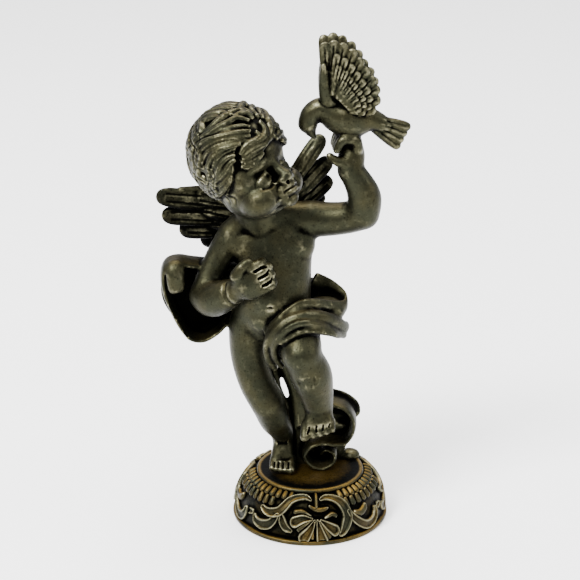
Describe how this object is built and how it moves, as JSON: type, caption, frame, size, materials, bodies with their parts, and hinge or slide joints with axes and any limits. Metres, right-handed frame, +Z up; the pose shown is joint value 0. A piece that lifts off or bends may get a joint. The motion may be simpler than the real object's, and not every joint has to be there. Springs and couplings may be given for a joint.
{
  "type": "cherub figurine",
  "caption": "Cast pewter figurine of a winged child with a bird on its raised hand, draped in a sash and standing on a round base carved with shells and scrolls.",
  "frame": {"origin": "centre of the round base's underside", "axes": "+Z up through the figure, -Y the way it faces, +X to its left"},
  "size_m": [0.0751, 0.0482, 0.1508],
  "materials": {
    "pewter": "antiqued pewter, dark in the hollows and worn bright on the high places",
    "dark_pewter": "antiqued pewter with a brown gold platform"
  },
  "bodies": {
    "root": {"cherub": "pewter", "base": "dark_pewter"}
  },
  "joints": []
}
